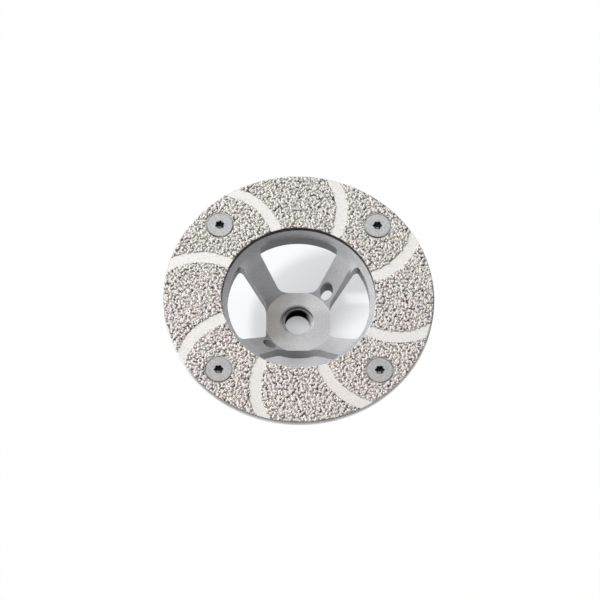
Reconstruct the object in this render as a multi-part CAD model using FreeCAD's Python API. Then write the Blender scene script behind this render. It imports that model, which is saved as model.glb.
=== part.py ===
"""Grinding cup wheel: dished aluminium hub, steel ring plate, eight curved grit fields, four screws.

Millimetres. The origin is the centre of the boss's back face. +Z is the spindle axis and points to
the grinding face, so the wheel stands on its boss with the grit up.
"""
import FreeCAD, Part
import math
import os
from FreeCAD import Vector

# Wheel
wheel_diameter = 125.0
plate_top_height = 36.4

# Ring plate
plate_bore_diameter = 71.0
plate_thickness = 2.2

# Flange, the hub's rim under the plate
flange_thickness = 5.5
flange_lip_height = 1.6
flange_bevel_width = 2.4

# Boss, dish and back cone
boss_height = 9.0
boss_face_diameter = 31.2
boss_back_diameter = 30.0
shoulder_step = 0.7

# Spindle bore, cut for an M14 x 2 thread
spindle_thread_minor_diameter = 11.835
bore_chamfer = 1.7

# Windows between the spokes
spoke_count = 4
window_rim_width = 2.5
boss_flat_depth = 0.7
window_inner_round = 4.0
window_outer_round = 1.8
spoke_foot_width = 8.6
spoke_head_width = 11.4

# Holes for the pins of a spanner, on two opposite spokes
pin_hole_count = 2
pin_hole_diameter = 5.8
pin_circle_diameter = 38.0

# Countersunk M6 screws with a six-lobe socket
screw_count = 4
screw_rim_distance = 10.5
screw_thread_diameter = 6.0
screw_head_diameter = 12.2
screw_head_angle = 90.0
screw_head_land = 0.5
screw_head_proud = 0.55
screw_end_inset = 0.3
socket_depth = 2.4
socket_tip_diameter = 4.5
socket_root_diameter = 3.25
socket_flute_radius = 0.95
socket_lobes = 6
socket_rest_angles = (30.0, 50.0, 35.0, 30.0)

# Clearances of a screw in its hole
thread_clearance = 0.05
countersink_clearance = 0.04

# Grit fields, and the curved channels of bare plate between them
field_count = 8
grit_height = 0.9
grit_edge_margin = 0.5
grit_screw_gap = 0.5
channel_width = 5.3
channel_start_angle = 17.0
channel_sweep_angle = 13.0

# Worked out from the sizes above
full_turn = 360.0
axis = Vector(0, 0, 1)
wheel_radius = wheel_diameter / 2
plate_bore_radius = plate_bore_diameter / 2
plate_seat_height = plate_top_height - plate_thickness
flange_bottom_height = plate_seat_height - flange_thickness
boss_face_radius = boss_face_diameter / 2
window_outer_radius = plate_bore_radius - window_rim_width
spoke_angle = full_turn / spoke_count / 2
screw_circle_radius = wheel_radius - screw_rim_distance
screw_top_height = plate_top_height + screw_head_proud
cut_overrun = 1.0


def polar(radius, angle, height=0.0):
    """The point at a radius and an angle about the wheel's axis."""
    turn = math.radians(angle)
    return Vector(radius * math.cos(turn), radius * math.sin(turn), height)


def turned_about_axis(shape, angle):
    """A copy of a shape, turned about the wheel's axis."""
    copy = shape.copy()
    copy.rotate(Vector(0, 0, 0), axis, angle)
    return copy


def rounded_wire(corners):
    """A closed wire through (point, round radius) corners, each round a tangent arc."""
    points = [point for point, _ in corners]
    joints = []
    for index, (corner, radius) in enumerate(corners):
        back = (points[index - 1] - corner).normalize()
        ahead = (points[(index + 1) % len(points)] - corner).normalize()
        if radius:
            half_angle = back.getAngle(ahead) / 2
            reach = radius / math.tan(half_angle)
            bisector = (back + ahead).normalize()
            middle = corner + bisector * (radius / math.sin(half_angle) - radius)
            joints.append((corner + back * reach, middle, corner + ahead * reach))
        else:
            joints.append((corner, None, corner))
    edges = []
    for index, (start, middle, end) in enumerate(joints):
        if middle:
            edges.append(Part.Arc(start, middle, end).toShape())
        edges.append(Part.LineSegment(end, joints[(index + 1) % len(joints)][0]).toShape())
    return Part.Wire(edges)


def revolved(profile):
    """The solid that an outline of (radius, height) corners sweeps about the wheel's axis."""
    corners = [Vector(radius, 0, height) for radius, height in profile]
    outline = Part.makePolygon(corners + corners[:1])
    return Part.Face(outline).revolve(Vector(0, 0, 0), axis, full_turn)


def extruded(corners, bottom, top):
    """The upright prism on (point, round radius) corners."""
    face = Part.Face(rounded_wire(corners))
    face.translate(axis * bottom)
    return face.extrude(axis * (top - bottom))


def upright_cylinder(radius, centre, bottom, top):
    """The cylinder that stands over a centre point between two heights."""
    return Part.makeCylinder(radius, top - bottom, Vector(centre.x, centre.y, bottom), axis)


def hub_blank():
    """The turned blank: boss, dish, back cone and flange, still without holes."""
    lip_bottom_height = plate_seat_height - flange_lip_height
    flange_chamfer = flange_thickness - flange_lip_height
    back_radius = boss_back_diameter / 2
    shoulder_radius = plate_bore_radius + shoulder_step
    back_taper = (shoulder_radius - back_radius) / flange_bottom_height
    return revolved([
        (0, 0),
        (back_radius, 0),
        (shoulder_radius - flange_bevel_width * back_taper, flange_bottom_height - flange_bevel_width),
        (shoulder_radius + flange_bevel_width, flange_bottom_height),
        (wheel_radius - flange_chamfer, flange_bottom_height),
        (wheel_radius, lip_bottom_height),
        (wheel_radius, plate_seat_height),
        (plate_bore_radius, plate_seat_height),
        (boss_face_radius, boss_height),
        (0, boss_height),
    ])


def window_cutter():
    """The upright prism of the window on +Y, between two spokes, with rounded corners."""
    along = polar(1, spoke_angle)
    across = polar(1, spoke_angle + full_turn / 4)
    foot = along * boss_face_radius + across * (spoke_foot_width / 2)
    head = along * window_outer_radius + across * (spoke_head_width / 2)
    run = head - foot
    flat_distance = boss_face_radius - boss_flat_depth
    inner = foot + run * ((flat_distance - foot.y) / run.y)
    outer = foot + run * ((wheel_radius - foot.y) / run.y)
    wedge = extruded([
        (Vector(-inner.x, inner.y, 0), window_inner_round),
        (Vector(inner.x, inner.y, 0), window_inner_round),
        (outer, 0),
        (Vector(-outer.x, outer.y, 0), 0),
    ], -cut_overrun, plate_top_height)
    reach = upright_cylinder(window_outer_radius, Vector(0, 0, 0), -cut_overrun, plate_top_height)
    window = wedge.common(reach)
    outer_corners = [
        edge
        for edge in window.Edges
        if edge.BoundBox.ZLength > plate_top_height
        and math.hypot(edge.CenterOfMass.x, edge.CenterOfMass.y) > window_outer_radius - window_outer_round
    ]
    return window.makeFillet(window_outer_round, outer_corners)


def spindle_bore_cutter():
    """The thread's minor bore with a chamfered mouth at both ends of the boss."""
    bore_radius = spindle_thread_minor_diameter / 2
    mouth_radius = bore_radius + bore_chamfer
    return revolved([
        (0, -cut_overrun),
        (mouth_radius + cut_overrun, -cut_overrun),
        (bore_radius, bore_chamfer),
        (bore_radius, boss_height - bore_chamfer),
        (mouth_radius + cut_overrun, boss_height + cut_overrun),
        (0, boss_height + cut_overrun),
    ])


def pin_hole_cutters():
    """The straight holes for a pin spanner, through two opposite spokes beside the boss."""
    cutters = []
    for index in range(pin_hole_count):
        centre = polar(pin_circle_diameter / 2, spoke_angle + index * full_turn / pin_hole_count)
        cutters.append(upright_cylinder(pin_hole_diameter / 2, centre, -cut_overrun, plate_seat_height))
    return cutters


def screw_head_outline(head_clearance, shank_clearance, top):
    """The countersunk head's side, from the shank's neck up to a height, widened by clearances."""
    shank_radius = screw_thread_diameter / 2 + shank_clearance
    head_radius = screw_head_diameter / 2 + head_clearance
    land_height = screw_top_height - screw_head_land
    cone_height = (head_radius - shank_radius) / math.tan(math.radians(screw_head_angle / 2))
    return [
        (shank_radius, land_height - cone_height),
        (head_radius, land_height),
        (head_radius, top),
        (0, top),
    ]


def screw_hole_cutter():
    """The countersunk hole that runs through the plate and the flange, at the wheel's axis."""
    bottom = flange_bottom_height - cut_overrun
    top = screw_top_height + cut_overrun
    shank_radius = screw_thread_diameter / 2 + thread_clearance
    head = screw_head_outline(countersink_clearance, thread_clearance, top)
    return revolved([(0, bottom), (shank_radius, bottom)] + head)


def six_lobe_socket():
    """The socket's cutter: a round core with a flute between each pair of lobes."""
    floor = screw_top_height - socket_depth
    top = screw_top_height + cut_overrun
    socket = upright_cylinder(socket_tip_diameter / 2, Vector(0, 0, 0), floor, top)
    flute_distance = socket_root_diameter / 2 + socket_flute_radius
    for index in range(socket_lobes):
        flute_centre = polar(flute_distance, index * full_turn / socket_lobes)
        flute = upright_cylinder(socket_flute_radius, flute_centre, floor, top)
        socket = socket.cut(flute)
    return socket


def screw():
    """One countersunk screw on the wheel's axis, its head a little proud of the plate."""
    bottom = flange_bottom_height + screw_end_inset
    end = [(0, bottom), (screw_thread_diameter / 2, bottom)]
    return revolved(end + screw_head_outline(0, 0, screw_top_height)).cut(six_lobe_socket())


def at_screw_places(shape, rest_angles=(0.0,)):
    """Copies of a shape at the screws' places, each turned on its own axis as it came to rest."""
    copies = []
    for index in range(screw_count):
        copy = turned_about_axis(shape, rest_angles[index % len(rest_angles)])
        copy.translate(polar(screw_circle_radius, spoke_angle + index * full_turn / screw_count))
        copies.append(copy)
    return copies


def hub():
    """The hub: the turned blank with its windows, bore, pin holes and screw holes."""
    window = window_cutter()
    windows = [turned_about_axis(window, index * full_turn / spoke_count) for index in range(spoke_count)]
    holes = [spindle_bore_cutter()] + pin_hole_cutters() + at_screw_places(screw_hole_cutter())
    return hub_blank().cut(windows + holes)


def ring_plate():
    """The flat steel ring with its countersunk holes."""
    origin = Vector(0, 0, 0)
    ring = upright_cylinder(wheel_radius, origin, plate_seat_height, plate_top_height)
    bore = upright_cylinder(plate_bore_radius, origin, plate_seat_height, plate_top_height)
    return ring.cut([bore] + at_screw_places(screw_hole_cutter()))


def channel_bend_radius():
    """The radius of the arc that leaves the bore squarely and reaches the rim the sweep angle later."""
    sweep = math.radians(channel_sweep_angle)
    chord = polar(wheel_radius, channel_sweep_angle) - polar(plate_bore_radius, 0)
    return chord.Length**2 / (2 * wheel_radius * math.sin(sweep))


def channel_cylinder(index, side):
    """The cylinder whose wall is one side of a channel: -1 the inside of its bend, 1 the outside."""
    angle = channel_start_angle + index * full_turn / field_count
    bend = channel_bend_radius()
    centre = polar(plate_bore_radius, angle) + polar(bend, angle + full_turn / 4)
    top = plate_top_height + grit_height
    return upright_cylinder(bend + side * channel_width / 2, centre, plate_top_height, top)


def grit_field(index):
    """The grit between one channel and the next, clear of the screw heads."""
    origin = Vector(0, 0, 0)
    top = plate_top_height + grit_height
    ring = upright_cylinder(wheel_radius - grit_edge_margin, origin, plate_top_height, top)
    inside = channel_cylinder(index, -1)
    beyond = channel_cylinder(index + 1, 1)
    middle = upright_cylinder(plate_bore_radius + grit_edge_margin, origin, plate_top_height, top)
    head = upright_cylinder(screw_head_diameter / 2 + grit_screw_gap, origin, plate_top_height, top)
    return ring.common(inside).cut([beyond, middle] + at_screw_places(head))


def main():
    """Write one STEP file for each piece."""
    parts = {
        "hub": hub(),
        "ring_plate": ring_plate(),
        "plate_screws": Part.makeCompound(at_screw_places(screw(), socket_rest_angles)),
    }
    for index in range(field_count):
        parts[f"grit_field_{index + 1}"] = grit_field(index)
    os.makedirs("parts", exist_ok=True)
    for name, shape in parts.items():
        shape.exportStep(f"parts/{name}.step")


main()
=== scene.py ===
"""Looks of a grinding cup wheel: satin aluminium hub, pale nickelled ring plate, brazed diamond grit.

Metres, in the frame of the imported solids. Z is the spindle's axis and the wheel stands on its boss.
"""

import math

import bmesh
import bpy
import numpy as np
from mathutils import Matrix, Vector


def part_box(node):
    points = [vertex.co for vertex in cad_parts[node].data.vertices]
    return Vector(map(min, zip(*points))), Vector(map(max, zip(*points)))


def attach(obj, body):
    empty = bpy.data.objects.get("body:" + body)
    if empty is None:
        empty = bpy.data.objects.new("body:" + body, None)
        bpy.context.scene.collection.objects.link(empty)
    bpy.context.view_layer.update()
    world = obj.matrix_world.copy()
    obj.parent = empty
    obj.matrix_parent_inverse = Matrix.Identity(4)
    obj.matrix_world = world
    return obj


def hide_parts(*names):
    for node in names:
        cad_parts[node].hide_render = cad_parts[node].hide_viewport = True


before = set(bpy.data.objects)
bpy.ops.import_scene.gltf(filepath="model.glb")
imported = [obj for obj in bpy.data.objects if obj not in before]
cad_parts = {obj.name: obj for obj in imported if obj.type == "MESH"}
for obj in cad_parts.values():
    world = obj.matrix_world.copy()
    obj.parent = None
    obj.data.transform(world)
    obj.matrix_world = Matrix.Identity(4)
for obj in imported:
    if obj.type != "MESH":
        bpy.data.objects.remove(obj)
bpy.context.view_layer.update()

MM = 0.001

# Places read from the solids
plate_low, plate_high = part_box("ring_plate")
screws_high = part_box("plate_screws")[1]
wheel_radius = plate_high.x
plate_seat = plate_low.z
plate_top = plate_high.z
screw_top = screws_high.z
grit_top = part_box("grit_field_1")[1].z
field_count = sum(name.startswith("grit_field_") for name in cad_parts)

# How closely places are compared
weld_distance = 0.001 * MM
place_digits = 7
angle_digits = 5

# Sizes of the hub's boss and of its M14 x 2 thread
boss_height = 9.0 * MM
plate_bore_radius = 35.5 * MM
bore_mouth_radius = 7.6175 * MM
beyond_bore = bore_mouth_radius + 0.01 * MM
thread_pitch = 2.0 * MM
thread_minor_radius = 5.9175 * MM
thread_major_radius = 7.0 * MM
thread_root_flat = thread_pitch / 8
thread_flank_slope = math.sqrt(3)
thread_rows_per_pitch = 20
thread_columns_per_edge = 3

# Edges rounded by handling and deburring
hub_edge_round = 0.25 * MM
boss_edge_round = 0.08 * MM
boss_edge_radius = 17.0 * MM
plate_edge_round = 0.12 * MM
screw_edge_round = 0.07 * MM
edge_segments = 3
sharp_angle = 28.0
flat_angle = 2.0
width_per_length = 0.2

# Edges that stay sharp, because their rounding would fold over
fold_rounds = 6
fold_reach = 0.5 * MM
fold_cosine = -0.1
fold_area = 1e-6 * MM**2

# Pin-spanner holes
pin_hole_radius = 2.9 * MM
pin_circle_radius = 19.0 * MM
pin_offset = pin_circle_radius / math.sqrt(2)

# Screws
screw_head_radius = 6.1 * MM
socket_radius = 2.25 * MM
screw_offset = screws_high.x - screw_head_radius

# Grains of diamond and the braze that holds them
grain_pitch = 1.17 * MM
grain_jitter = 0.42
grain_radius = 0.53 * MM
grain_radius_spread = 0.28
grain_seed = 100
grain_shapes = 24
grain_directions = 15
grain_corner_reach = (0.82, 1.05)
grain_stretch = (0.85, 1.15)
grain_crest_low = 0.66
chip_share = 0.45
chip_radius = 0.30 * MM
chip_radius_range = (0.7, 1.2)
chip_crest = 0.80
chip_crest_range = (0.6, 1.0)
ragged_depth = (-0.2, 0.6)
edge_reach = 0.42 * MM
edge_zone = 0.90 * MM
edge_gap = 0.05 * MM
braze_step = 0.20 * MM
braze_rise = 0.56 * MM
braze_floor = 0.10 * MM
braze_sink = 0.06 * MM
braze_sunk = 0.99 * braze_sink
braze_spread = 0.44 * MM
braze_reach = braze_spread * 3
braze_cling = (0.20, 0.62)
braze_skirt = 0.30 * MM

# Fine relief in the shaders: heights, and phases in radians per millimetre
hub_ring_phase = 11.0
hub_ring_height = 0.004 * MM
hub_speckle_height = 0.03 * MM
plate_pit_height = 0.02 * MM
plate_dent_height = 0.08 * MM
screw_ring_phase = 6.0
screw_ring_height = 0.006 * MM
grain_skin_height = 0.05 * MM

# Tones of the hub
aluminium_dull = (0.62, 0.62, 0.635)
aluminium_pale = (0.72, 0.72, 0.735)
aluminium_speckle = (0.68, 0.68, 0.695)
# Painted shade on the milled walls, and painted light where they face the front right and the key light
painted_wall_shade = (0.265, 0.265, 0.272)
painted_wall_front_light = (0.44, 0.44, 0.45)
painted_wall_right_light = (0.57, 0.57, 0.58)
# Painted shade on the spokes at the upper left and a painted highlight at the lower right
painted_spoke_shade = (0.46, 0.46, 0.475)
painted_spoke_highlight = (0.86, 0.86, 0.87)
# Painted highlights on the spokes' front feet and back heads, and painted shade beyond the far pin hole
painted_foot_highlight = (0.88, 0.88, 0.89)
painted_head_highlight = (0.95, 0.95, 0.96)
pin_hole_shade = (0.26, 0.26, 0.27)
# Painted shade on the walls of the pin holes
painted_pin_front_shade = (0.22, 0.22, 0.215)
painted_pin_back_shade = (0.20, 0.20, 0.207)
# Painted shadow and painted shade on the flange at the back
painted_gap_shadow = (0.03, 0.03, 0.03)
painted_strip_shade = (0.30, 0.30, 0.31)
painted_window_shade = (0.24, 0.24, 0.247)
# Painted shade and a painted highlight in the bore's mouth, and near-black painted shade on the thread
painted_mouth_shade = (0.10, 0.10, 0.105)
painted_mouth_highlight = (0.95, 0.95, 0.95)
painted_bore_shade = (0.004, 0.004, 0.004)
boss_dull = (0.58, 0.58, 0.59)
boss_pale = (0.64, 0.64, 0.65)
# Painted light on the boss's face at the far right and the front
painted_boss_light = (0.76, 0.76, 0.765)
painted_boss_front_light = (0.66, 0.66, 0.67)
# A stain on the boss's left that is also painted shade, and a painted shadow around the bore's back
stain_and_painted_shade = (0.39, 0.375, 0.36)
boss_shadow = (0.12, 0.12, 0.125)
# Painted light on the rim's wall at the wheel's lower left
painted_hub_rim_light = (0.93, 0.93, 0.94)

# Tones of the plate
nickel_dull = (0.87, 0.845, 0.815)
nickel_pale = (0.95, 0.93, 0.905)
nickel_grain = (0.97, 0.95, 0.925)
nickel_front = (0.79, 0.765, 0.735)
nickel_mottle = (0.72, 0.69, 0.645)
# Painted shadow on the bore's edge at the back, and near-black painted shade on the bore's wall
painted_lip_shadow = (0.02, 0.019, 0.018)
painted_bore_wall_shade = (0.03, 0.029, 0.028)
plate_rim_wall = (0.42, 0.41, 0.40)
# Painted shadow along the top of the rim's wall
painted_crest_shadow = (0.10, 0.095, 0.09)
# Painted light on the rim's wall at the wheel's lower left
painted_plate_rim_light = (0.92, 0.91, 0.90)
# Painted shade along the rim's edge on the wheel's right
right_edge_painted_shade = (0.16, 0.155, 0.15)
# Painted shadow round the screws' seats, broken up by noise
painted_seat_shadow = (0.05, 0.047, 0.045)

# Tones of the screws. The first two are pairs that a cloud pattern mixes: painted shade for the front
# screws and painted light for the back ones.
shaded_screw_front_tones = ((0.54, 0.515, 0.515), (0.53, 0.535, 0.515))
lit_screw_back_tones = ((0.61, 0.595, 0.64), (0.60, 0.625, 0.60))
screw_ring_tone = (0.70, 0.70, 0.70)
screw_mottle = (0.33, 0.325, 0.32)
# Painted shadow round each head's rim
painted_head_rim_shadow = (0.10, 0.10, 0.10)
# Painted shade in the sockets and round their rims, with paler patches and a painted glint
painted_socket_rim_shade = (0.03, 0.03, 0.032)
painted_socket_shade = (0.010, 0.010, 0.012)
paler_socket_shade = (0.10, 0.10, 0.10)
painted_socket_glint = (0.50, 0.50, 0.51)

# Tones of the grit. The first two are pairs, for the wheel's back and for its front.
grain_dull_tones = ((0.80, 0.775, 0.73), (0.84, 0.775, 0.75))
grain_bright_tones = ((0.97, 0.943, 0.90), (0.99, 0.923, 0.905))
grain_patch = (0.71, 0.67, 0.61)
# Painted shade on the low braze between the grains, patchily paler
painted_braze_shade = (0.035, 0.03, 0.027)
paler_braze_shade = (0.55, 0.525, 0.495)

# Floor and studio. The slopes say how the studio's brightness grows along X, Y and Z.
floor_reach = 4.0
floor_paint = (0.86, 0.86, 0.87, 1)
# Painted light and shade in the floor's glow under the wheel
painted_floor_shade_level = 0.395
painted_floor_light_gain = 0.54
shown_white = 0.985
shade_tint = (0.965, 0.975, 1.0)
studio_level = 0.55
studio_slopes = (-0.42, 0.22, 0.18)

# Camera, fitted to the photograph
image_size = 600
sensor_width = 36.0
focal_pixels = 2992.0
camera_distance = 1.38
camera_elevation = 64.95
camera_azimuth = 2.3
camera_roll = 2.3
aim_pixel = (298.42, 296.45)


def mm(length):
    """A length in millimetres, as the shaders count."""
    return length / MM


# Shader building


def add(tree, kind, inputs=(), **settings):
    """A shader node with its settings. Each input gets a value, or the socket that feeds it."""
    node = tree.nodes.new("ShaderNode" + kind)
    for name, value in settings.items():
        setattr(node, name, value)
    for name, value in dict(inputs).items():
        if isinstance(value, bpy.types.NodeSocket):
            tree.links.new(value, node.inputs[name])
        else:
            node.inputs[name].default_value = value
    return node


def maths(tree, operation, *values):
    """The result of a sum on sockets or numbers."""
    return add(tree, "Math", enumerate(values), operation=operation).outputs[0]


def ramp(tree, value, low, high):
    """0 where a value is at low or before it, 1 at high or past it, and smooth between, either way up."""
    inputs = {"Value": value, "From Min": low, "From Max": high}
    return add(tree, "MapRange", inputs, interpolation_type="SMOOTHSTEP").outputs["Result"]


def blend(tree, share, first, second):
    """A colour between two, by share."""
    node = add(tree, "Mix", data_type="RGBA")
    for index, value in ((0, share), (6, first), (7, second)):
        if isinstance(value, bpy.types.NodeSocket):
            tree.links.new(value, node.inputs[index])
        else:
            node.inputs[index].default_value = value if index == 0 else (*value, 1)
    return node.outputs[2]


def place(tree):
    """The point on the piece, in millimetres."""
    where = add(tree, "TexCoord").outputs["Object"]
    return add(tree, "VectorMath", {0: where, 1: (mm(1),) * 3}, operation="MULTIPLY").outputs[0]


def parts(tree, vector):
    """The X, Y and Z of a vector."""
    return add(tree, "SeparateXYZ", {0: vector}).outputs


def axis_distance(tree, vector):
    """How far a point lies from the Z axis."""
    flat = add(tree, "VectorMath", {0: vector, 1: (1, 1, 0)}, operation="MULTIPLY").outputs[0]
    return add(tree, "VectorMath", {0: flat}, operation="LENGTH").outputs["Value"]


def noise(tree, vector, scale, detail=2.0, roughness=0.5):
    """A noise value, with its grain in lumps per millimetre."""
    inputs = {"Vector": vector, "Scale": scale, "Detail": detail, "Roughness": roughness}
    return add(tree, "TexNoise", inputs).outputs["Fac"]


def bump(tree, height, distance, strength=1.0, normal=None):
    """A normal tilted by a height, with the distance in metres that a height of 1 stands for."""
    inputs = {"Height": height, "Distance": distance, "Strength": strength}
    if normal:
        inputs["Normal"] = normal
    return add(tree, "Bump", inputs).outputs["Normal"]


def material(name):
    """A new material, with its node tree and its surface shader."""
    made = bpy.data.materials.new(name)
    made.use_nodes = True
    tree = made.node_tree
    return made, tree, tree.nodes["Principled BSDF"]


def feed(tree, shader, **sockets):
    """Link sockets to the shader's inputs, named with underscores for spaces."""
    for name, socket in sockets.items():
        tree.links.new(socket, shader.inputs[name.replace("_", " ")])


# Shading that the materials share


def product(tree, *masks):
    """The product of masks, which is 1 only where each of them is 1."""
    result = masks[0]
    for mask in masks[1:]:
        result = maths(tree, "MULTIPLY", result, mask)
    return result


def band(tree, value, start, full, fade, end):
    """1 where a value lies from full to fade, 0 before start and past end, and smooth between."""
    return product(tree, ramp(tree, value, start, full), ramp(tree, value, end, fade))


def coat(tree, base, tone, *masks):
    """A colour with a tone laid over it where all masks are 1. A number among them thins the tone."""
    return blend(tree, product(tree, *masks), base, tone)


def moved(tree, point, x, y):
    """A point moved in the plane."""
    return add(tree, "VectorMath", {0: point, 1: (x, y, 0.0)}, operation="ADD").outputs[0]


def flatness(tree):
    """How level the surface lies: 0 on an upright wall and 1 on a flat face."""
    normal = add(tree, "NewGeometry").outputs["True Normal"]
    return maths(tree, "ABSOLUTE", parts(tree, normal)[2])


def diagonal_distance(tree, point, offset):
    """How far a point lies from the nearest of four axes that stand at an offset on the diagonals."""
    x, y, z = parts(tree, point)
    across = maths(tree, "SUBTRACT", maths(tree, "ABSOLUTE", x), mm(offset))
    along = maths(tree, "SUBTRACT", maths(tree, "ABSOLUTE", y), mm(offset))
    return axis_distance(tree, add(tree, "CombineXYZ", {"X": across, "Y": along, "Z": z}).outputs[0])


def right_edge_shade_line(tree, point):
    """1 on a thin line at the rim on the wheel's right, where its edge takes painted shade, and 0
    elsewhere.
    """
    x, y = parts(tree, point)[:2]
    by_rim = ramp(tree, axis_distance(tree, point), mm(wheel_radius) - 1.0, mm(wheel_radius) - 0.6)
    return product(tree, by_rim, ramp(tree, x, 50.0, 54.0), band(tree, y, -27.0, -19.0, 3.0, 9.0))


def painted_rim_light(tree, point):
    """1 on the rim at the wheel's lower left, where its wall takes painted light, and 0 elsewhere."""
    x, y = parts(tree, point)[:2]
    by_rim = ramp(tree, axis_distance(tree, point), mm(wheel_radius) - 0.6, mm(wheel_radius) - 0.2)
    return product(tree, by_rim, ramp(tree, x, -46.0, -53.0), ramp(tree, y, -10.0, -20.0))


# The hub's material


def painted_wall_shading(tree, point):
    """Painted shade on the milled walls: dark, with painted light making them paler on the front right and
    palest on the right, facing the key light.
    """
    x, y = parts(tree, point)[:2]
    front_right = product(tree, ramp(tree, x, 0.0, 11.0), ramp(tree, y, 0.0, -10.0))
    tone = blend(tree, front_right, painted_wall_shade, painted_wall_front_light)
    return coat(tree, tone, painted_wall_right_light, ramp(tree, x, 18.0, 27.0), band(tree, y, -9.0, -3.0, 3.0, 18.0))


def painted_spoke_light(tree, point, base):
    """Painted shade on the spokes at the wheel's upper left, and a painted highlight on its lower right.
    """
    x, y = parts(tree, point)[:2]
    distance = axis_distance(tree, point)
    lower_right = maths(tree, "SUBTRACT", x, y)
    shaded_side = product(tree, ramp(tree, lower_right, 10.0, -30.0), ramp(tree, distance, 32.0, 27.0))
    highlight_side = product(tree, ramp(tree, lower_right, 15.0, 40.0), ramp(tree, distance, 34.0, 30.0))
    # Painted shade on the upper left spokes, then a painted highlight on the lower right ones
    base = coat(tree, base, painted_spoke_shade, shaded_side, 0.6)
    return coat(tree, base, painted_spoke_highlight, highlight_side, 0.6)


def spoke_shades(tree, point, base, walls, not_wall):
    """The spokes' painted light and shade: painted highlights on the front feet and the back heads,
    painted shade beyond the far pin hole and along one edge.
    """
    x, y = parts(tree, point)[:2]
    aside = maths(tree, "ABSOLUTE", x)
    distance = axis_distance(tree, point)
    beyond_hole = diagonal_distance(tree, moved(tree, point, 0.3, -0.8), pin_offset)
    beyond_hole = ramp(tree, beyond_hole, mm(pin_hole_radius) + 0.2, mm(pin_hole_radius) - 0.5)
    back_right = product(tree, ramp(tree, y, 9.0, 11.0), ramp(tree, x, 8.0, 9.0))
    # Painted shade just beyond the far pin hole
    base = coat(tree, base, pin_hole_shade, beyond_hole, back_right)
    front_feet = product(tree, ramp(tree, y, -6.0, -12.0), ramp(tree, aside, 4.0, 9.0))
    # Painted highlights on the spokes' front feet, then on their back heads
    base = coat(tree, base, painted_foot_highlight, front_feet, ramp(tree, distance, 28.0, 20.0), not_wall, 0.55)
    head = product(tree, ramp(tree, aside, 22.0, 27.0), ramp(tree, distance, 33.8, 31.8))
    base = coat(tree, base, painted_head_highlight, head, ramp(tree, y, -3.0, 4.0), not_wall, 0.7)
    off_diagonal = maths(tree, "MULTIPLY", maths(tree, "SUBTRACT", x, y), math.sqrt(0.5))
    off_edge = maths(tree, "SUBTRACT", off_diagonal, maths(tree, "MULTIPLY_ADD", distance, -0.078, 6.8))
    by_edge = product(tree, ramp(tree, off_edge, -1.1, -0.3), ramp(tree, distance, 31.2, 28.8))
    # Painted shade along one edge of the upper right spoke
    return coat(tree, base, walls, by_edge, ramp(tree, y, 7.0, 10.0), 0.75)


def flange_shades(tree, point, base):
    """Painted shade on the flange at the back: a painted shadow in the gap under the plate, a shaded band,
    and painted shade by the far window.
    """
    x, y, z = parts(tree, point)
    aside = maths(tree, "ABSOLUTE", x)
    distance = axis_distance(tree, point)
    bore, seat = mm(plate_bore_radius), mm(plate_seat)
    # Painted shadow in the gap under the plate's bore
    gap = band(tree, distance, bore - 0.2, bore - 0.05, bore + 0.9, bore + 1.1)
    gap = product(tree, gap, ramp(tree, z, seat - 1.7, seat - 1.2), ramp(tree, y, -8.0, 8.0))
    base = blend(tree, gap, base, painted_gap_shadow)
    # Painted shade on a band of the flange at the back
    strip = product(tree, ramp(tree, distance, 30.5, 33.0), ramp(tree, y, 0.0, 15.0))
    base = coat(tree, base, painted_strip_shade, strip, band(tree, x, -32.0, -12.0, 20.0, 29.0), 0.25)
    # Painted shade by the far window
    window_shade = product(tree, ramp(tree, distance, 34.8, 32.8), ramp(tree, y, 26.0, 30.0))
    return coat(tree, base, painted_window_shade, window_shade, ramp(tree, aside, 17.0, 13.0), 0.8)


def bore_shades(tree, point, base, mouth, deep):
    """The bore's painted light and shade: painted shade at the back of its mouth, a painted highlight at
    the front, and near-black painted shade on the thread below.
    """
    x, y = parts(tree, point)[:2]
    off_thread = maths(tree, "SUBTRACT", axis_distance(tree, point), mm(thread_major_radius))
    # Painted shade at the back of the mouth
    base = coat(tree, base, painted_mouth_shade, mouth, ramp(tree, off_thread, 0.1, 0.3), ramp(tree, y, 1.5, 4.5))
    base = coat(tree, base, painted_mouth_shade, mouth, ramp(tree, y, 2.0, 5.5), 0.5)
    # Painted highlight at the front of the mouth
    front = ramp(tree, maths(tree, "MULTIPLY_ADD", y, -2.0, x), 2.0, 8.0)
    base = coat(tree, base, painted_mouth_highlight, mouth, front, 0.8)
    # Near-black painted shade deep in the bore
    return blend(tree, deep, base, painted_bore_shade)


def boss_shades(tree, point, base, level, cloud, speckle):
    """The boss's face: painted light on the far right and the front, a stain with painted shade on the
    left, and a painted shadow around the bore's back.
    """
    x, y, z = parts(tree, point)
    top = mm(boss_height)
    by_top = band(tree, z, top - 0.5, top - 0.1, top + 0.1, top + 0.5)
    face = product(tree, ramp(tree, level, 0.9, 0.98), by_top)
    tone = blend(tree, speckle, boss_dull, boss_pale)
    # Painted light on the far right and the front of the face
    tone = coat(tree, tone, painted_boss_light, ramp(tree, x, 0.0, 8.0), ramp(tree, y, 2.0, 9.0))
    tone = coat(tree, tone, painted_boss_front_light, ramp(tree, y, -7.0, -13.0))
    base = blend(tree, face, base, tone)
    # A stain on the left, partly painted shade
    off_left = maths(tree, "MULTIPLY_ADD", y, -0.16, maths(tree, "MULTIPLY_ADD", cloud, 14.0, x))
    off_middle = maths(tree, "MAXIMUM", ramp(tree, y, 3.0, 9.0), ramp(tree, y, -6.0, -12.0))
    thinned = maths(tree, "MULTIPLY_ADD", off_middle, -0.4, 1.0)
    base = coat(tree, base, stain_and_painted_shade, face, ramp(tree, off_left, 13.0, -5.0), thinned)
    # Painted shadow around the back of the bore
    by_bore = band(tree, axis_distance(tree, point), 7.1, 7.4, 8.0, 8.9)
    back = ramp(tree, maths(tree, "MULTIPLY_ADD", x, -0.6, y), 1.0, 7.0)
    return coat(tree, base, boss_shadow, by_bore, back, 0.75)


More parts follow.
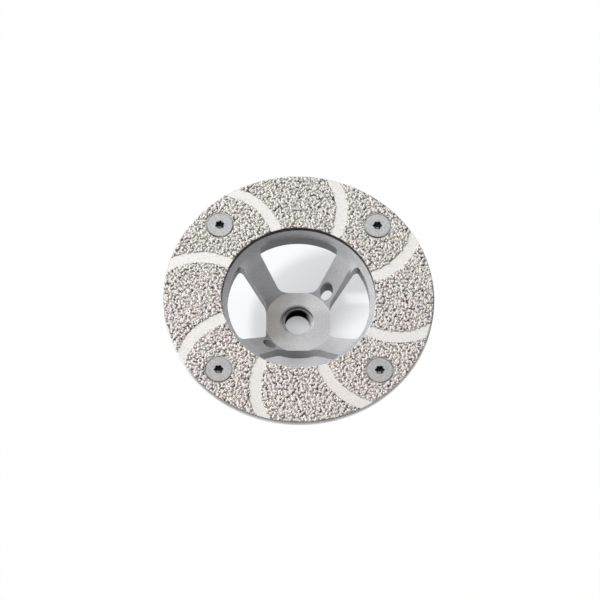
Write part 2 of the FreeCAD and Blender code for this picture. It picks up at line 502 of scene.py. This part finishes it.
def hub_material():
    """Turned and milled aluminium: satin rings about the axis, painted shade on the milled walls, and
    near-black painted shade in the thread.
    """
    made, tree, shader = material("hub_aluminium")
    point = place(tree)
    x, y, z = parts(tree, point)
    distance = axis_distance(tree, point)
    level = flatness(tree)
    wall = ramp(tree, level, 0.3, 0.1)
    not_wall = ramp(tree, level, 0.1, 0.3)
    mouth = ramp(tree, distance, mm(bore_mouth_radius) + 0.05, mm(bore_mouth_radius))
    # Painted shade deep in the bore, on all but its right side
    deep = product(tree, mouth, ramp(tree, z, mm(boss_height) - 1.4, mm(boss_height) - 1.9))
    deep = product(tree, deep, ramp(tree, x, 6.2, 3.6))
    cloud = noise(tree, point, 0.16, 4.0)
    speckle = noise(tree, point, 3.2, 3.0)
    base = blend(tree, cloud, aluminium_dull, aluminium_pale)
    base = blend(tree, ramp(tree, speckle, 0.35, 0.75), base, aluminium_speckle)
    base = painted_spoke_light(tree, point, base)
    # Painted shade on the milled walls, paler where painted light falls on them
    walls = painted_wall_shading(tree, point)
    inside_rim = ramp(tree, distance, mm(wheel_radius) - 1.0, mm(wheel_radius) - 2.0)
    base = coat(tree, base, walls, wall, inside_rim)
    base = spoke_shades(tree, point, base, walls, not_wall)
    # Painted shade on the walls of the pin holes
    off_pin = diagonal_distance(tree, point, pin_offset)
    by_pin = ramp(tree, off_pin, mm(pin_hole_radius) + 0.7, mm(pin_hole_radius) + 0.2)
    painted_pin_shade = blend(tree, ramp(tree, y, -5.0, 5.0), painted_pin_front_shade, painted_pin_back_shade)
    base = coat(tree, base, painted_pin_shade, wall, by_pin)
    base = flange_shades(tree, point, base)
    base = bore_shades(tree, point, base, mouth, deep)
    base = boss_shades(tree, point, base, level, cloud, speckle)
    # Painted light on the rim at the lower left
    base = blend(tree, painted_rim_light(tree, point), base, painted_hub_rim_light)
    skin = ramp(tree, noise(tree, point, 1.1, 3.0), 0.35, 0.65)
    skin = maths(tree, "MULTIPLY_ADD", skin, 0.11, 0.945)
    base = add(tree, "VectorMath", {0: base, "Scale": skin}, operation="SCALE").outputs[0]
    rough = maths(tree, "MULTIPLY_ADD", speckle, 0.14, 0.40)
    rough = maths(tree, "MULTIPLY_ADD", mouth, 0.35, rough)
    # No metal where the bore takes its near-black painted shade
    metal = maths(tree, "SUBTRACT", 1.0, deep)
    wavy = maths(tree, "ADD", maths(tree, "ADD", distance, z), noise(tree, point, 0.5))
    rings = maths(tree, "SINE", maths(tree, "MULTIPLY", wavy, hub_ring_phase))
    normal = bump(tree, rings, hub_ring_height, 0.5)
    normal = bump(tree, speckle, hub_speckle_height, 0.5, normal)
    feed(tree, shader, Base_Color=base, Metallic=metal, Specular_IOR_Level=metal)
    feed(tree, shader, Roughness=rough, Normal=normal)
    return made


# The plate's material


def plate_edges(tree, point, base):
    """The plate's edges: a near-black bore in painted shade with a painted shadow at its back, a rim wall
    with a painted shadow along its top, painted light and painted shade on the rim, and a painted shadow
    round the screws' seats.
    """
    x, y, z = parts(tree, point)
    distance = axis_distance(tree, point)
    bore, rim, top = mm(plate_bore_radius), mm(wheel_radius), mm(plate_top)
    # Painted shadow on the bore's edge at the back
    lip = ramp(tree, axis_distance(tree, moved(tree, point, 0.15, 0.0)), bore + 0.32, bore + 0.15)
    base = coat(tree, base, painted_lip_shadow, lip, ramp(tree, y, -16.0, -6.0))
    # Near-black painted shade on the bore's wall
    by_bore = ramp(tree, distance, bore + 0.5, bore + 0.3)
    base = coat(tree, base, painted_bore_wall_shade, by_bore, ramp(tree, flatness(tree), 0.5, 0.2))
    # Painted shadow along the top of the rim's wall, fainter on the right
    crest = ramp(tree, z, top - 0.7, top - 0.3)
    crest = product(tree, crest, maths(tree, "MULTIPLY_ADD", ramp(tree, x, 20.0, 42.0), -0.7, 1.0))
    rim_tone = blend(tree, crest, plate_rim_wall, painted_crest_shadow)
    base = blend(tree, ramp(tree, distance, rim - 0.2, rim - 0.05), base, rim_tone)
    # Painted light on the rim at the lower left
    base = blend(tree, painted_rim_light(tree, point), base, painted_plate_rim_light)
    # Painted shade along the rim's edge on the wheel's right
    base = coat(tree, base, right_edge_painted_shade, right_edge_shade_line(tree, point), 0.7)
    # Painted shadow round the screws' seats, broken up by noise
    off_seat = diagonal_distance(tree, point, screw_offset)
    seat = ramp(tree, off_seat, mm(screw_head_radius) + 0.5, mm(screw_head_radius) + 0.25)
    patchy_shadow = maths(tree, "MULTIPLY_ADD", ramp(tree, noise(tree, point, 0.13), 0.4, 0.6), -0.55, 0.95)
    return coat(tree, base, painted_seat_shadow, seat, patchy_shadow)


def plate_material():
    """Nickelled steel: off-white and softly mottled, darker towards the front."""
    made, tree, shader = material("plate_steel")
    point = place(tree)
    cloud = noise(tree, point, 0.35, 4.0)
    lumps = noise(tree, point, 0.85, 3.0)
    grain = ramp(tree, noise(tree, point, 1.1, 3.0), 0.3, 0.7)
    base = blend(tree, cloud, nickel_dull, nickel_pale)
    base = coat(tree, base, nickel_grain, grain, 0.5)
    base = coat(tree, base, nickel_front, ramp(tree, parts(tree, point)[1], 10.0, -60.0), 0.45)
    base = coat(tree, base, nickel_mottle, ramp(tree, lumps, 0.50, 0.62), 0.40)
    base = plate_edges(tree, point, base)
    rough = maths(tree, "MULTIPLY_ADD", cloud, 0.15, 0.36)
    pitted = bump(tree, noise(tree, point, 5.0, 2.0), plate_pit_height, 0.4)
    dented = bump(tree, lumps, plate_dent_height, 0.5, pitted)
    shader.inputs["Metallic"].default_value = 0.5
    feed(tree, shader, Base_Color=base, Roughness=rough, Normal=dented)
    return made


# The screws' material


def painted_socket_shading(tree, point):
    """The socket in painted shade: near black with paler patches, and a painted glint on its front wall.
    """
    x, y, z = parts(tree, point)
    paler_patches = ramp(tree, noise(tree, point, 0.9), 0.52, 0.60)
    tone = blend(tree, paler_patches, painted_socket_shade, paler_socket_shade)
    across = maths(tree, "MULTIPLY_ADD", maths(tree, "SIGN", x), -mm(screw_offset), x)
    along = maths(tree, "MULTIPLY_ADD", maths(tree, "SIGN", y), -mm(screw_offset), y)
    along = maths(tree, "MULTIPLY_ADD", maths(tree, "SUBTRACT", z, mm(screw_top)), 0.47, along)
    off_spot = maths(tree, "ABSOLUTE", maths(tree, "ADD", across, 0.15))
    spot = product(tree, ramp(tree, along, -0.6, -1.2), ramp(tree, off_spot, 1.1, 0.6))
    return coat(tree, tone, painted_socket_glint, spot, 0.85)


def screw_material():
    """Plated steel: fine rings about each screw's axis, a painted shadow round the rim, and a socket in
    painted shade.
    """
    made, tree, shader = material("screw_steel")
    point = place(tree)
    y, z = parts(tree, point)[1:]
    distance = diagonal_distance(tree, point, screw_offset)
    head, socket, top = mm(screw_head_radius), mm(socket_radius), mm(screw_top)
    wavy = maths(tree, "ADD", distance, noise(tree, point, 0.6))
    rings = maths(tree, "SINE", maths(tree, "MULTIPLY", wavy, screw_ring_phase))
    cloud = ramp(tree, noise(tree, point, 0.35, 3.0), 0.3, 0.7)
    front = blend(tree, cloud, *shaded_screw_front_tones)
    back = blend(tree, cloud, *lit_screw_back_tones)
    # Painted shade on the front screws and painted light on the back ones
    base = blend(tree, ramp(tree, y, -10.0, 10.0), front, back)
    base = coat(tree, base, screw_ring_tone, ramp(tree, rings, -1.0, 1.0), 0.18)
    mottle = ramp(tree, noise(tree, point, 1.25, 3.0), 0.42, 0.60)
    base = coat(tree, base, screw_mottle, mottle, 0.50)
    # Painted shadow round each head's rim, broken up by noise
    patchy_shadow = maths(tree, "MULTIPLY_ADD", ramp(tree, noise(tree, point, 0.13), 0.62, 0.38), 0.5, 0.3)
    base = coat(tree, base, painted_head_rim_shadow, ramp(tree, distance, head - 0.5, head - 0.15), patchy_shadow)
    # Painted shade round the socket's rim and inside it
    base = coat(tree, base, painted_socket_rim_shade, ramp(tree, distance, socket, socket - 0.35), 0.7)
    inside = ramp(tree, distance, socket + 0.15, socket)
    base = coat(tree, base, painted_socket_shading(tree, point), inside, ramp(tree, z, top - 0.05, top - 0.25))
    rough = maths(tree, "MULTIPLY_ADD", cloud, 0.15, 0.33)
    shader.inputs["Metallic"].default_value = 0.45
    feed(tree, shader, Base_Color=base, Roughness=rough, Normal=bump(tree, rings, screw_ring_height, 0.5))
    return made


# The grit's material


def grit_material():
    """Diamond grains in nickel braze: bright tops, tinted grain by grain, and painted shade, patchily
    paler, in the crevices.
    """
    made, tree, shader = material("diamond_grit")
    point = place(tree)
    y, z = parts(tree, point)[1:]
    tint = add(tree, "TexVoronoi", {"Vector": point, "Scale": 0.9}).outputs["Color"]
    tone = noise(tree, point, 1.4, 2.0)
    front = ramp(tree, y, 30.0, -20.0)
    top = blend(tree, 0.14, blend(tree, front, *grain_dull_tones), tint)
    top = blend(tree, ramp(tree, tone, 0.4, 0.7), top, blend(tree, front, *grain_bright_tones))
    patch = ramp(tree, noise(tree, point, 0.22, 2.0), 0.38, 0.62)
    top = coat(tree, top, grain_patch, patch, 0.32)
    # Painted shade on the low braze, by height above the plate
    pit = blend(tree, ramp(tree, noise(tree, point, 0.7, 3.0), 0.36, 0.62), painted_braze_shade, paler_braze_shade)
    height = maths(tree, "SUBTRACT", z, mm(plate_top))
    base = blend(tree, ramp(tree, height, 0.08, 0.42), pit, top)
    # Painted shade along the rim's edge on the wheel's right
    base = coat(tree, base, right_edge_painted_shade, right_edge_shade_line(tree, point), 0.7)
    rough = maths(tree, "MULTIPLY_ADD", tone, 0.25, 0.32)
    normal = bump(tree, noise(tree, point, 7.0, 2.0), grain_skin_height, 0.5)
    shader.inputs["Metallic"].default_value = 0.4
    feed(tree, shader, Base_Color=base, Roughness=rough, Normal=normal)
    return made


# The floor's material


def painted_floor_light(tree, point):
    """How bright the floor's glow is under the wheel: painted light and shade, seen through the windows,
    the bore and the pin holes.
    """
    x, y = parts(tree, point)[:2]
    distance = axis_distance(tree, point)
    off_left = maths(tree, "MULTIPLY_ADD", x, -0.5, maths(tree, "MULTIPLY_ADD", y, -0.1, distance))
    off_right = maths(tree, "MULTIPLY_ADD", y, -0.9, x)
    right = product(tree, ramp(tree, off_right, 8.0, 33.0), ramp(tree, y, -12.0, 0.0))
    right_strip = product(tree, band(tree, y, 12.0, 15.5, 17.5, 21.0), ramp(tree, x, 20.0, 25.0), 0.60)
    lit = maths(tree, "ADD", right, ramp(tree, off_left, 29.0, 38.0))
    lit = maths(tree, "MINIMUM", maths(tree, "ADD", lit, right_strip), 1.0)
    level = maths(tree, "MULTIPLY_ADD", lit, painted_floor_light_gain, painted_floor_shade_level)
    back = product(tree, ramp(tree, x, 10.0, -8.0), ramp(tree, y, 14.0, 22.0), 0.06)
    level = maths(tree, "ADD", level, back)
    front = product(tree, ramp(tree, y, -9.0, -15.0), ramp(tree, maths(tree, "ABSOLUTE", x), 20.0, 15.0))
    front = product(tree, front, maths(tree, "MULTIPLY_ADD", ramp(tree, x, 8.0, -6.0), 0.10, 0.10))
    level = maths(tree, "SUBTRACT", level, front)
    # Painted shade on the floor seen through the bore
    in_bore = product(tree, ramp(tree, distance, 15.0, 11.0), ramp(tree, y, 1.0, 8.0), 0.14)
    level = maths(tree, "SUBTRACT", level, in_bore)
    # Painted light on the floor under the upper right pin hole
    off_pin = axis_distance(tree, moved(tree, point, -13.5, -17.0))
    return maths(tree, "MULTIPLY_ADD", ramp(tree, off_pin, 4.5, 3.0), 0.16, level)


def floor_material():
    """White floor: under the wheel, a glow of painted light and shade over its own shading, which keeps
    the shadow; shown white beyond it.
    """
    made, tree, shader = material("floor_white")
    shader.inputs["Base Color"].default_value = floor_paint
    shader.inputs["Roughness"].default_value = 0.7
    path = add(tree, "LightPath").outputs
    seen = maths(tree, "MAXIMUM", path["Is Camera Ray"], path["Is Glossy Ray"])
    seen = maths(tree, "MAXIMUM", seen, path["Is Transmission Ray"])
    point = place(tree)
    reach = maths(tree, "ADD", axis_distance(tree, point), noise(tree, point, 0.05))
    reach = maths(tree, "MULTIPLY_ADD", parts(tree, point)[1], -0.15, reach)
    beyond = ramp(tree, reach, 38.0, 46.0)
    under = painted_floor_light(tree, point)
    level = maths(tree, "MULTIPLY_ADD", beyond, maths(tree, "SUBTRACT", shown_white, under), under)
    glow = add(tree, "Emission", {"Color": blend(tree, beyond, shade_tint, (1, 1, 1)), "Strength": 1.0})
    share = maths(tree, "MULTIPLY", seen, level)
    mixed = add(tree, "MixShader", {0: share, 1: shader.outputs[0], 2: glow.outputs[0]})
    tree.links.new(mixed.outputs[0], tree.nodes["Material Output"].inputs["Surface"])
    return made


# Pieces in the solids' places


def dress(piece, made):
    """Give every slot of a piece one material."""
    piece.data.materials.clear()
    piece.data.materials.append(made)


def linked(name, data):
    """A new object in the scene."""
    made = bpy.data.objects.new(name, data)
    bpy.context.scene.collection.objects.link(made)
    return made


def plain_copy(node, name):
    """A solid's mesh under a new name, with its corners joined."""
    mesh = node.data.copy()
    mesh.name = name
    if "custom_normal" in mesh.attributes:
        mesh.attributes.remove(mesh.attributes["custom_normal"])
    bm = bmesh.new()
    bm.from_mesh(mesh)
    bmesh.ops.remove_doubles(bm, verts=bm.verts, dist=weld_distance)
    bm.to_mesh(mesh)
    bm.free()
    return mesh


def off_axis(vert):
    """How far a corner lies from the wheel's axis."""
    return math.hypot(vert.co.x, vert.co.y)


# Hub with its thread


def thread_radius(angle, height):
    """The wall of the threaded bore: the thread's profile, or the chamfer where that is wider."""
    turn = (height / thread_pitch - angle / math.tau) % 1.0
    off_root = max(abs(turn - 0.5) * thread_pitch - thread_root_flat / 2, 0.0)
    profile = thread_major_radius - off_root * thread_flank_slope
    chamfer = bore_mouth_radius - min(height, boss_height - height)
    return max(profile, thread_minor_radius, chamfer)


def mouth_ring(bm, height):
    """The corners of the open edge at a height, set on the true circle, in order of angle."""
    rims = [e for e in bm.edges if e.is_boundary]
    ring = {v for e in rims for v in e.verts if abs(v.co.z - height) < weld_distance}
    for v in ring:
        v.co.xy = v.co.xy.normalized() * bore_mouth_radius
    return sorted(ring, key=lambda v: round(math.atan2(v.co.y, v.co.x) % math.tau, angle_digits))


def threaded_hub(node):
    """The hub's solid with its plain bore wall replaced by the cut thread."""
    mesh = plain_copy(node, "hub_threaded")
    bm = bmesh.new()
    bm.from_mesh(mesh)
    wall = [f for f in bm.faces if all(off_axis(v) < beyond_bore for v in f.verts)]
    bmesh.ops.delete(bm, geom=wall, context="FACES")
    open_edges = [e for e in bm.edges if e.is_boundary]
    bmesh.ops.subdivide_edges(bm, edges=open_edges, cuts=thread_columns_per_edge - 1)
    rows = round(boss_height / thread_pitch * thread_rows_per_pitch)
    bottom = mouth_ring(bm, 0.0)
    top = mouth_ring(bm, boss_height)
    angles = [math.atan2(v.co.y, v.co.x) for v in bottom]
    grid = [bottom]
    for row in range(1, rows):
        height = boss_height * row / rows
        radii = [thread_radius(angle, height) for angle in angles]
        grid.append([
            bm.verts.new((radius * math.cos(angle), radius * math.sin(angle), height))
            for radius, angle in zip(radii, angles)
        ])
    grid.append(top)
    for lower, upper in zip(grid, grid[1:]):
        for index in range(len(lower)):
            bm.faces.new((lower[index - 1], upper[index - 1], upper[index], lower[index]))
    bmesh.ops.recalc_face_normals(bm, faces=bm.faces)
    bm.to_mesh(mesh)
    bm.free()
    return mesh


# Softened edges


def hub_edge_width(edge):
    """How far an edge of the hub is rounded, which is least at the boss."""
    by_boss = all(off_axis(v) < boss_edge_radius for v in edge.verts)
    return boss_edge_round if by_boss else hub_edge_round


def mark_edges(mesh, edge_width, inner_radius):
    """Weigh the sharp edges outside a radius for the bevel, by the width that each gets."""
    bm = bmesh.new()
    bm.from_mesh(mesh)
    verts = [v for v in bm.verts if off_axis(v) > inner_radius]
    edges = [e for e in bm.edges if min(map(off_axis, e.verts)) > inner_radius]
    bmesh.ops.dissolve_limit(bm, angle_limit=math.radians(flat_angle), verts=verts, edges=edges)
    weight = bm.edges.layers.float.new("bevel_weight_edge")
    for edge in bm.edges:
        outside = min(map(off_axis, edge.verts)) > inner_radius
        sharp = outside and edge.calc_face_angle(0.0) > math.radians(sharp_angle)
        room = min(near.calc_length() for v in edge.verts for near in v.link_edges)
        width = min(edge_width(edge), room * width_per_length)
        edge[weight] = width / hub_edge_round if sharp else 0.0
    bm.to_mesh(mesh)
    bm.free()


def folded_spots(mesh):
    """The middles of faces that look against their own corners' normals, as a folded bevel leaves."""
    normals = np.empty(len(mesh.loops) * 3, np.float32)
    mesh.corner_normals.foreach_get("vector", normals)
    normals = normals.reshape(-1, 3)
    spots = []
    for face in mesh.polygons:
        corners = normals[face.loop_start:face.loop_start + face.loop_total]
        against = (corners @ np.array(face.normal)).min()
        if against < fold_cosine and face.area > fold_area:
            spots.append(np.array(face.center))
    return spots


def spare_edges(mesh, spots):
    """Leave the edges that run by some spots sharp."""
    ends = np.array([[mesh.vertices[i].co for i in edge.vertices] for edge in mesh.edges])
    first, run = ends[:, 0], ends[:, 1] - ends[:, 0]
    weights = mesh.attributes["bevel_weight_edge"].data
    for spot in spots:
        share = np.clip(((spot - first) * run).sum(axis=1) / (run * run).sum(axis=1), 0, 1)
        gap = np.linalg.norm(spot - first - share[:, None] * run, axis=1)
        for index in np.flatnonzero(gap < fold_reach):
            weights[index].value = 0.0


def rounded_mesh(piece):
    """The piece's mesh with its bevel; edges whose rounding would fold over stay sharp."""
    for _ in range(fold_rounds):
        rounded = piece.evaluated_get(bpy.context.evaluated_depsgraph_get())
        mesh = bpy.data.meshes.new_from_object(rounded)
        spots = folded_spots(mesh)
        if not spots:
            break
        spare_edges(piece.data, spots)
    return mesh


def soft_piece(mesh, node_name, made, edge_width, inner_radius=0.0):
    """A piece in a solid's place with its sharp edges rounded."""
    mark_edges(mesh, edge_width, inner_radius)
    mesh.shade_smooth()
    mesh.set_sharp_from_angle(angle=math.radians(sharp_angle))
    piece = linked(mesh.name, mesh)
    bevel = piece.modifiers.new("edges", "BEVEL")
    bevel.limit_method = "WEIGHT"
    bevel.width = hub_edge_round
    bevel.segments = edge_segments
    bevel.harden_normals = True
    bevel.use_clamp_overlap = False
    piece.data = rounded_mesh(piece)
    piece.modifiers.clear()
    dress(piece, made)
    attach(piece, "root")
    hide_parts(node_name)


# Grit


def grain_hulls(rng):
    """Blocky convex grains of unit size: for each, its corners and its triangles."""
    hulls = []
    for _ in range(grain_shapes):
        bm = bmesh.new()
        for direction in rng.normal(size=(grain_directions, 3)):
            bm.verts.new(direction / np.linalg.norm(direction) * rng.uniform(*grain_corner_reach))
        bmesh.ops.convex_hull(bm, input=bm.verts)
        bmesh.ops.delete(bm, geom=[v for v in bm.verts if not v.link_faces], context="VERTS")
        bmesh.ops.triangulate(bm, faces=bm.faces)
        bm.verts.index_update()
        corners = np.array([v.co for v in bm.verts])
        faces = np.array([[v.index for v in f.verts] for f in bm.faces])
        hulls.append((corners, faces))
        bm.free()
    return hulls


def flat_top(node):
    """The triangles of a field's flat top, as corners in the plane."""
    mesh = node.data
    mesh.calc_loop_triangles()
    corners = np.array([v.co for v in mesh.vertices])[[t.vertices for t in mesh.loop_triangles]]
    flat = (np.abs(corners[:, :, 2] - grit_top) < weld_distance).all(axis=1)
    return corners[flat][:, :, :2]


def outline_of(triangles):
    """The edges that only one triangle has: the outline, as pairs of points."""
    seen = {}
    for triangle in triangles:
        for first, second in zip(triangle, np.roll(triangle, -1, axis=0)):
            ends = (tuple(np.round(first, place_digits)), tuple(np.round(second, place_digits)))
            key = tuple(sorted(ends))
            seen[key] = seen.get(key, 0) + 1
    return np.array([key for key, count in seen.items() if count == 1])


def depth_inside(points, triangles, outline):
    """How far inside the outline each point lies; below zero outside."""
    inside = np.zeros(len(points), bool)
    for corners in triangles:
        sides = []
        for first, second in zip(corners, np.roll(corners, -1, axis=0)):
            run, reach = second - first, points - first
            sides.append(run[0] * reach[:, 1] - run[1] * reach[:, 0])
        sides = np.array(sides)
        inside |= (sides >= 0).all(axis=0) | (sides <= 0).all(axis=0)
    nearest = np.full(len(points), np.inf)
    for first, second in outline:
        run = second - first
        share = np.clip((points - first) @ run / (run @ run), 0, 1)
        gap = np.linalg.norm(points - first - share[:, None] * run, axis=1)
        nearest = np.minimum(nearest, gap)
    return np.where(inside, nearest, -nearest)


def smooth(value, low, high):
    """0 below low, 1 above high, and smooth between."""
    share = np.clip((value - low) / (high - low), 0, 1)
    return share * share * (3 - 2 * share)


def lattice(low, high, pitch):
    """Points of a triangular lattice over a box."""
    columns = np.arange(low[0], high[0], pitch)
    rows = np.arange(low[1], high[1], pitch * math.sqrt(3) / 2)
    x, y = np.meshgrid(columns, rows)
    x = x + (np.arange(len(rows)) % 2)[:, None] * pitch / 2
    return np.stack([x.ravel(), y.ravel()], axis=1)


def overhang(points):
    """How far past its solid's outline the grit may run: a little at the plate's rim and bore, else 0."""
    distance = np.hypot(points[:, 0], points[:, 1])
    by_rim = distance > wheel_radius - edge_zone
    by_bore = distance < plate_bore_radius + edge_zone
    return np.where(by_rim | by_bore, edge_reach, 0.0)


def keep_on_plate(points):
    """Points pulled in to the plate's bore and rim."""
    distance = np.hypot(points[:, 0], points[:, 1])
    held = np.clip(distance, plate_bore_radius + edge_gap, wheel_radius - edge_gap)
    points[:, :2] *= (held / distance)[:, None]
    return points


def scatter_grains(rng, low, high, triangles, outline):
    """The grains' centres, radii and crests: loose rows, small chips between, and a ragged outline."""
    points = lattice(low - grain_pitch, high + grain_pitch, grain_pitch)
    points = points + rng.uniform(-grain_jitter, grain_jitter, points.shape) * grain_pitch
    radii = grain_radius * (1 + rng.uniform(-grain_radius_spread, grain_radius_spread, len(points)))
    crests = rng.uniform(grain_crest_low, 1.0, len(points))
    chip_count = round(len(points) * chip_share)
    points = np.concatenate([points, rng.uniform(low, high, (chip_count, 2))])
    radii = np.concatenate([radii, chip_radius * rng.uniform(*chip_radius_range, chip_count)])
    crests = np.concatenate([crests, chip_crest * rng.uniform(*chip_crest_range, chip_count)])
    depth = depth_inside(points, triangles, outline) + overhang(points)
    kept = depth > radii * rng.uniform(*ragged_depth, len(points))
    return points[kept], radii[kept], crests[kept]


def grain_meshes(rng, hulls, points, radii, crests):
    """The corners and triangles of all grains of a field."""
    corners, faces, count = [], [], 0
    for point, radius, crest in zip(points, radii, crests):
        shape, triangles = hulls[rng.integers(len(hulls))]
        turn = Matrix.Rotation(rng.uniform(0, math.tau), 3, Vector(rng.normal(size=3)).normalized())
        stretch = rng.uniform(*grain_stretch, 3) * radius
        grain = shape * stretch @ np.array(turn)
        peak = plate_top + crest * (grit_top - plate_top)
        grain = grain + [*point, peak - grain[:, 2].max()]
        corners.append(grain)
        faces.append(triangles + count)
        count += len(grain)
    return keep_on_plate(np.concatenate(corners)), np.concatenate(faces)


def braze_bed(low, high, triangles, outline, points):
    """The braze between the grains: a thin skin on the plate that climbs each grain's side."""
    margin = braze_step * 2
    columns = np.arange(low[0] - margin, high[0] + margin, braze_step)
    rows = np.arange(low[1] - margin, high[1] + margin, braze_step)
    x, y = np.meshgrid(columns, rows)
    grid = np.stack([x.ravel(), y.ravel()], axis=1)
    depth = depth_inside(grid, triangles, outline) + overhang(grid)
    near = depth > -margin
    held = np.zeros(len(grid))
    for point in points:
        box = near & (np.abs(grid - point) < braze_reach).all(axis=1)
        held[box] += np.exp(-((grid[box] - point) ** 2).sum(axis=1) / braze_spread**2)
    climb = smooth(held, *braze_cling)
    skin = smooth(depth, 0.0, braze_skirt)
    height = plate_top - braze_sink + skin * (braze_floor + braze_sink) + climb * braze_rise
    corners = keep_on_plate(np.column_stack([grid, height]))
    index = np.arange(len(grid)).reshape(len(rows), len(columns))
    turns = (index[:-1, :-1], index[:-1, 1:], index[1:, 1:], index[1:, :-1])
    quads = np.stack(turns, axis=-1).reshape(-1, 4)
    above = height > plate_top - braze_sunk
    quads = quads[near[quads].all(axis=1) & above[quads].any(axis=1)]
    used = np.unique(quads)
    place_of = np.zeros(len(grid), int)
    place_of[used] = np.arange(len(used))
    return corners[used], place_of[quads]


def grit_piece(index, hulls, made):
    """One field of grit: its grains and the braze they stand in."""
    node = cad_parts[f"grit_field_{index}"]
    rng = np.random.default_rng(index)
    triangles = flat_top(node)
    outline = outline_of(triangles)
    low, high = triangles.min(axis=(0, 1)), triangles.max(axis=(0, 1))
    points, radii, crests = scatter_grains(rng, low, high, triangles, outline)
    grains, grain_faces = grain_meshes(rng, hulls, points, radii, crests)
    large = points[radii > chip_radius * chip_radius_range[1]]
    bed, bed_faces = braze_bed(low, high, triangles, outline, large)
    mesh = bpy.data.meshes.new(f"diamond_grit_{index}")
    faces = (grain_faces + len(bed)).tolist()
    mesh.from_pydata(np.concatenate([bed, grains]).tolist(), [], bed_faces.tolist() + faces)
    smooth_faces = np.arange(len(mesh.polygons)) < len(bed_faces)
    mesh.polygons.foreach_set("use_smooth", smooth_faces)
    mesh.materials.append(made)
    piece = linked(mesh.name, mesh)
    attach(piece, "root")
    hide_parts(node.name)


# Stage


def make_floor():
    """A wide floor under the boss."""
    mesh = bpy.data.meshes.new("floor")
    signs = ((-1, -1), (1, -1), (1, 1), (-1, 1))
    corners = [(across * floor_reach, along * floor_reach, 0) for across, along in signs]
    mesh.from_pydata(corners, [], [(0, 1, 2, 3)])
    mesh.materials.append(floor_material())
    floor = linked("floor", mesh)


def make_world():
    """A pale studio: brighter behind the wheel and on its left, dimmer on the camera's side."""
    world = bpy.data.worlds.new("studio")
    bpy.context.scene.world = world
    world.use_nodes = True
    tree = world.node_tree
    level = studio_level
    for side, slope in zip(parts(tree, add(tree, "TexCoord").outputs["Generated"]), studio_slopes):
        level = maths(tree, "MULTIPLY_ADD", side, slope, level)
    tree.links.new(level, tree.nodes["Background"].inputs["Strength"])
    tree.nodes["Background"].inputs["Color"].default_value = (1, 1, 1, 1)


def area_light(name, azimuth, elevation, distance, size, radiance):
    """A square soft light that faces the wheel's middle; radiance 1 shows white in a mirror."""
    data = bpy.data.lights.new(name, "AREA")
    data.size = size
    data.energy = radiance * math.pi * size * size
    light = linked(name, data)
    turn, rise = math.radians(azimuth), math.radians(elevation)
    out = Vector((math.cos(turn) * math.cos(rise), math.sin(turn) * math.cos(rise), math.sin(rise)))
    light.location = Vector((0, 0, plate_top)) + out * distance
    light.rotation_euler = out.to_track_quat("Z", "Y").to_euler()


def make_camera():
    """The photograph's camera, aimed so that the centre of the ring's top lies on its pixel."""
    azimuth, elevation, roll = map(math.radians, (camera_azimuth, camera_elevation, camera_roll))
    right = Vector((math.cos(azimuth), -math.sin(azimuth), 0))
    forward = Vector((
        math.sin(azimuth) * math.cos(elevation),
        math.cos(azimuth) * math.cos(elevation),
        -math.sin(elevation),
    ))
    up = right.cross(forward)
    x_axis = math.cos(roll) * right + math.sin(roll) * up
    y_axis = math.cos(roll) * up - math.sin(roll) * right
    middle = (image_size - 1) / 2
    across = (aim_pixel[0] - middle) / focal_pixels * camera_distance
    down = (aim_pixel[1] - middle) / focal_pixels * camera_distance
    data = bpy.data.cameras.new("camera")
    data.sensor_width = sensor_width
    data.lens = focal_pixels / image_size * sensor_width
    camera = linked("camera", data)
    eye = Vector((0, 0, plate_top)) - camera_distance * forward - across * x_axis + down * y_axis
    turned = Matrix((x_axis, y_axis, -forward)).transposed().to_4x4()
    camera.matrix_world = Matrix.Translation(eye) @ turned
    bpy.context.scene.camera = camera


bpy.context.scene.view_settings.view_transform = "Standard"

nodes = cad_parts
hub_mesh = threaded_hub(nodes["hub"])
soft_piece(hub_mesh, "hub", hub_material(), hub_edge_width, beyond_bore)
plate_mesh = plain_copy(nodes["ring_plate"], "ring_plate_softened")
soft_piece(plate_mesh, "ring_plate", plate_material(), lambda edge: plate_edge_round)
screw_mesh = plain_copy(nodes["plate_screws"], "plate_screws_softened")
soft_piece(screw_mesh, "plate_screws", screw_material(), lambda edge: screw_edge_round)

hulls = grain_hulls(np.random.default_rng(grain_seed))
grit = grit_material()
for number in range(1, field_count + 1):
    grit_piece(number, hulls, grit)

make_floor()
make_world()
area_light("key", azimuth=151, elevation=34, distance=1.0, size=0.6, radiance=4.6)
area_light("overhead", azimuth=88, elevation=65, distance=1.2, size=0.9, radiance=0.12)
make_camera()
